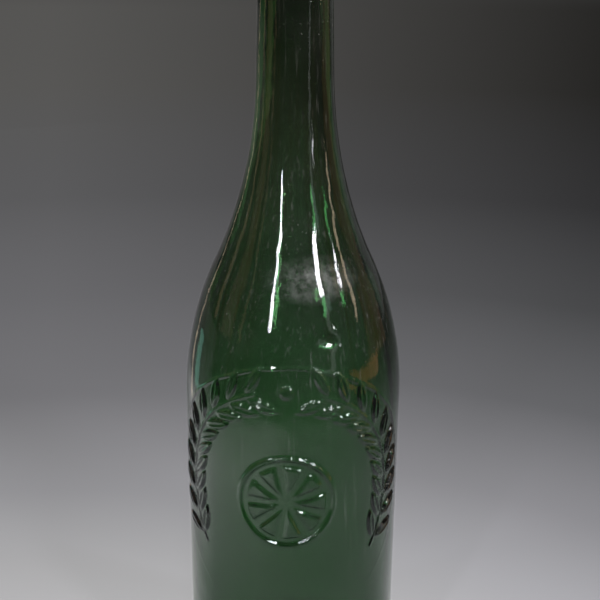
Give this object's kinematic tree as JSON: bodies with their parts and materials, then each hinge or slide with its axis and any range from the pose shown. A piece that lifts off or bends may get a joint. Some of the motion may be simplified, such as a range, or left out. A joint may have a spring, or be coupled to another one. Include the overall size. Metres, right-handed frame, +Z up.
{
  "type": "glass soda bottle",
  "caption": "Tall round-shouldered green glass soda bottle with a long tapered neck, an embossed leaf and fruit panel, a crown finish and a cork-lined crown cap that lifts off.",
  "frame": {"origin": "middle of the flat ring that the bottle stands on", "axes": "+Z up along the bottle's axis, -Y out of the embossed panel, +X to the right as the panel is faced"},
  "size_m": [0.08, 0.081, 0.3025],
  "materials": {
    "green_glass": "clear dark green, lightly worn",
    "tinplate": "plain tinplate, dulled",
    "cork": "pressed natural cork",
    "foil": "thin bright foil"
  },
  "bodies": {
    "bottle": {"glass_bottle": "green_glass"},
    "cap": {"crown_shell": "tinplate", "cork_liner": "cork", "foil_spot": "foil"}
  },
  "joints": [
    {"name": "cap_lift", "type": "slide", "parent": "bottle", "child": "cap", "axis": [0, 0, 1], "range_m": [0, 0.06]}
  ]
}
